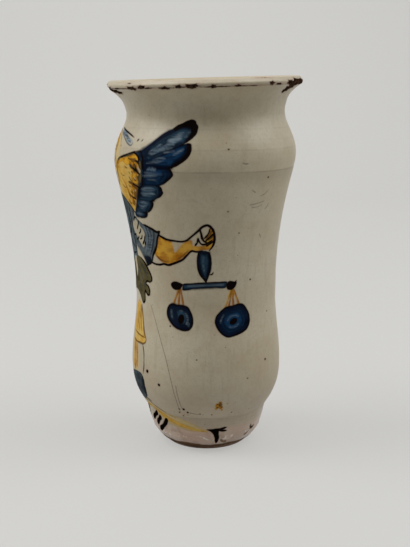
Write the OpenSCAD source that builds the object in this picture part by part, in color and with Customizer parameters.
// Waisted drug jar of tin-glazed earthenware: a turned foot, a thrown wall and a flared collar
// of fired clay, under coats of glaze that stop above a bare heel. Millimetres, +Z up, and the
// origin is the middle of the base, on the surface that the jar stands on.

/* [Overall] */
// Height of the jar, from the table to the crest of its lip
jar_h = 242; // [222:1:282]

/* [Foot] */
// Diameter of the bare clay base
base_d = 50; // [40:1:56]
// Width of the ring that the jar stands on
base_ring_w = 7; // [4:0.5:12]
// Depth of the turned hollow inside that ring
base_hollow = 1.5; // [0.5:0.1:3]
// Diameter of the clay at the lower edge of the foot's glaze
glaze_line_d = 60; // [57:0.5:68]
// Height of that edge above the table
glaze_line_h = 4; // [3:0.5:7]
// Lean of the heel at that edge, from upright
heel_lean = 50; // [35:1:60]
// Height of the seam where the wall is luted on to the foot
foot_h = 26; // [23:0.5:31]
// Diameter of the jar at the seam
seam_d = 80; // [76:0.5:88]
// Lean of the foot just under the seam, from upright
foot_lean = 8; // [0:1:15]
// Height of the collar on the foot that the wall is seated round
collar_h = 3; // [2:0.5:5]
// Height of the inside floor above the table
floor_h = 12; // [9:0.5:14]
// Diameter of the flat part of the inside floor
floor_d = 40; // [30:1:46]

/* [Wall] */
// Lean of the wall where it springs from the seam, from upright
spring_lean = 35; // [25:1:45]
// Rise from the seam to the hip
hip_rise = 29; // [24:1:36]
// Diameter at the hip
hip_d = 99.5; // [94:0.5:108]
// Rise from the hip to the waist
waist_rise = 47; // [36:1:60]
// Diameter at the waist
waist_d = 92.5; // [86:0.5:98]
// Diameter at the shoulder
shoulder_d = 118; // [108:0.5:126]
// Rise from the shoulder to the neck
neck_rise = 27; // [22:1:34]
// Diameter at the neck
neck_d = 101.5; // [96:0.5:108]
// Thickness of the clay wall
wall_t = 5; // [4:0.25:7]

/* [Lip] */
// Rise from the neck to the lower edge of the lip
flare_rise = 18.3; // [15:0.1:24]
// Lean of the collar where it meets the lip, from upright
flare_lean = 57; // [45:1:65]
// Diameter of the lip at its widest
lip_d = 125.5; // [118:0.5:134]
// Height of the lip, from its lower edge to its crest
lip_h = 4.7; // [4:0.1:7]
// How far the lower edge is tucked in under the widest line
lip_tuck = 0.5; // [0.2:0.1:1]
// Height of the lip's rounded top
lip_round_h = 3; // [2:0.1:3.6]
// Depth of the lip's rounded top, from the widest line in to the crest
lip_round_w = 2.6; // [1.6:0.1:4]
// Lean of the throat just inside the crest, from upright
throat_lean = 70; // [60:1:78]

/* [Glaze] */
// Thickness of the white glaze, outside and inside
glaze_t = 0.5; // [0.3:0.05:0.8]
// Thickness of the thin glaze on the foot
foot_glaze_t = 0.3; // [0.2:0.05:0.5]

/* [Hidden] */
$fn = 180;

// Straight steps in each curved stretch of an outline
steps = 12;
// Steps in the short curves of the heel and the lip
short_steps = 6;

// Share of a stretch over which its curve keeps the direction that it starts or ends in
heel_start_share = 0.35;
heel_end_share = 0.35;
foot_start_share = 0.25;
foot_end_share = 0.45;
spring_share = 0.38;
hip_share = 0.48;
waist_share = 0.38;
waist_hold_share = 0.55;
shoulder_share = 0.12;
shoulder_fall_share = 0.48;
neck_share = 0.22;
flare_start_share = 0.49;
flare_end_share = 0.46;
throat_start_share = 0.3;
throat_end_share = 0.44;
bowl_start_share = 0.45;
bowl_end_share = 0.45;

// Lean of the heel where it leaves the table, from upright
heel_start_lean = 72;

// Heights of the stations: the lower ones stand on the foot, and the upper ones hang from the lip
hip_z = foot_h + hip_rise;
waist_z = hip_z + waist_rise;
lip_z = jar_h - lip_h;
neck_z = lip_z - flare_rise;
shoulder_z = neck_z - neck_rise;

// The wall with its two coats of glaze
full_t = wall_t + 2 * glaze_t;

clay_brown = [0.45, 0.30, 0.20];
glaze_white = [0.80, 0.76, 0.67];
foot_pink = [0.63, 0.51, 0.43];

// A point that lies a given length from p, leaning outwards from upright
function along(p, lean, length) = p + length * [sin(lean), cos(lean)];

// A smooth curve from a to d that leaves a towards b and arrives at d from c
function curve(a, b, c, d, n = steps) = [
    for (i = [0:n])
        let (t = i / n, s = 1 - t)
        s * s * s * a + 3 * s * s * t * b + 3 * s * t * t * c + t * t * t * d
];

// A stretch of wall that is upright at both of its ends
function upright_curve(a, share_a, share_b, d) =
    let (rise = d[1] - a[1])
    curve(a, a + [0, share_a * rise], d - [0, share_b * rise], d);

// Stretches that start where the last one ended, as one outline
function joined(stretches) = [
    for (k = [0:len(stretches) - 1])
        for (i = [(k == 0 ? 0 : 1):len(stretches[k]) - 1])
            stretches[k][i]
];

function reversed(points) = [for (i = [len(points) - 1:-1:0]) points[i]];

// An outline moved sideways
function shifted(points, dx) = [for (p = points) p + [dx, 0]];

// The direction of an outline at its point i
function heading(points, i) =
    let (last = len(points) - 1, step = points[min(i + 1, last)] - points[max(i - 1, 0)])
    step / norm(step);

// An outline moved to its left by d, square to itself, or sideways at an end that is level
function inset(points, d, level_start, level_end) =
    let (last = len(points) - 1)
    [
        for (i = [0:last])
            let (
                h = heading(points, i),
                level = (i == 0 && level_start) || (i == last && level_end)
            )
            points[i] + d * (level ? [-sign(h[1]), 0] : [-h[1], h[0]])
    ];

// Radius of an outline that rises steadily, at height z
function radius_at(points, z) = lookup(z, [for (p = points) [p[1], p[0]]]);

// Clay of the foot, from the base up to the seam
base_edge = [base_d / 2, 0];
glaze_edge = [glaze_line_d / 2, glaze_line_h];
seam_clay = [seam_d / 2 - glaze_t, foot_h];
heel = let (span = norm(glaze_edge - base_edge))
    curve(
        base_edge,
        along(base_edge, heel_start_lean, heel_start_share * span),
        along(glaze_edge, heel_lean, -heel_end_share * span),
        glaze_edge,
        short_steps
    );
foot_side = let (span = norm(seam_clay - glaze_edge))
    curve(
        glaze_edge,
        along(glaze_edge, heel_lean, foot_start_share * span),
        along(seam_clay, foot_lean, -foot_end_share * span),
        seam_clay
    );
foot_coat = inset(foot_side, -foot_glaze_t, false, true);

// Outside of the wall over its glaze, from the seam up to the neck
seam = [seam_d / 2, foot_h];
hip = [hip_d / 2, hip_z];
waist = [waist_d / 2, waist_z];
shoulder = [shoulder_d / 2, shoulder_z];
neck = [neck_d / 2, neck_z];
spring = curve(
    seam,
    along(seam, spring_lean, spring_share * hip_rise),
    hip - [0, hip_share * hip_rise],
    hip
);
wall_out = joined([
    spring,
    upright_curve(hip, waist_share, waist_share, waist),
    upright_curve(waist, waist_hold_share, shoulder_share, shoulder),
    upright_curve(shoulder, shoulder_fall_share, neck_share, neck)
]);
wall_out_clay = shifted(wall_out, -glaze_t);
wall_in_clay = shifted(wall_out, -glaze_t - wall_t);
wall_in = shifted(wall_out, -full_t);

// The foot's collar reaches this point on the inside of the wall
collar_z = foot_h + collar_h;
collar_tip = [radius_at(wall_in_clay, collar_z), collar_z];

// Over the collar and the lip, from the neck outside to the neck inside
lip_edge = [lip_d / 2 - lip_tuck, lip_z];
lip_centre = [lip_d / 2 - lip_round_w, jar_h - lip_round_h];
neck_inside = neck - [full_t, 0];
flare = let (span = norm(lip_edge - neck))
    curve(
        neck,
        neck + [0, flare_start_share * flare_rise],
        along(lip_edge, flare_lean, -flare_end_share * span),
        lip_edge
    );
lip_round = [
    for (i = [0:short_steps])
        let (a = 90 * i / short_steps)
        lip_centre + [lip_round_w * cos(a), lip_round_h * sin(a)]
];
crest = lip_centre + [0, lip_round_h];
throat = let (span = norm(crest - neck_inside))
    curve(
        crest,
        along(crest, throat_lean, -throat_start_share * span),
        neck_inside + [0, throat_end_share * (jar_h - neck_z)],
        neck_inside
    );
rim_path = joined([flare, concat([lip_edge], lip_round), throat]);
rim_clay = inset(rim_path, glaze_t, true, true);

// Inside of the foot over its glaze, from the seam down and in to the axis
seam_inside = seam - [full_t, 0];
floor_edge = [floor_d / 2, floor_h];
bowl = let (span = norm(floor_edge - seam_inside))
    curve(
        seam_inside,
        along(seam_inside, spring_lean, -bowl_start_share * span),
        floor_edge + [bowl_end_share * span, 0],
        floor_edge
    );
floor_path = concat(bowl, [[0, floor_h]]);
floor_clay = inset(floor_path, glaze_t, true, false);

module turned(outline) {
    rotate_extrude() polygon(outline);
}

// A coat of glaze between two outlines that run the same way
module coat(surface, backing) {
    turned(concat(surface, reversed(backing)));
}

module clay_foot() {
    ring_in = base_d / 2 - base_ring_w;
    collar_inside = [for (p = wall_in_clay) if (p[1] > foot_h && p[1] < collar_z) p];
    underside = [[0, base_hollow], [ring_in - base_hollow, base_hollow], [ring_in, 0]];
    color(clay_brown)
        turned(concat(
            underside,
            joined([heel, foot_side]),
            [collar_tip],
            reversed(collar_inside),
            floor_clay
        ));
}

module clay_wall() {
    inside = [for (p = wall_in_clay) if (p[1] > collar_z) p];
    color(clay_brown)
        turned(concat(wall_out_clay, reversed(inside), [collar_tip]));
}

module clay_rim() {
    color(clay_brown) turned(rim_clay);
}

module foot_glaze() {
    color(foot_pink) coat(foot_coat, foot_side);
}

module outer_glaze() {
    color(glaze_white) coat(wall_out, wall_out_clay);
}

module rim_glaze() {
    color(glaze_white) coat(rim_path, rim_clay);
}

module inner_glaze() {
    color(glaze_white) coat(wall_in, wall_in_clay);
}

module floor_glaze() {
    color(glaze_white) coat(floor_path, floor_clay);
}

clay_foot();
clay_wall();
clay_rim();
foot_glaze();
outer_glaze();
rim_glaze();
inner_glaze();
floor_glaze();
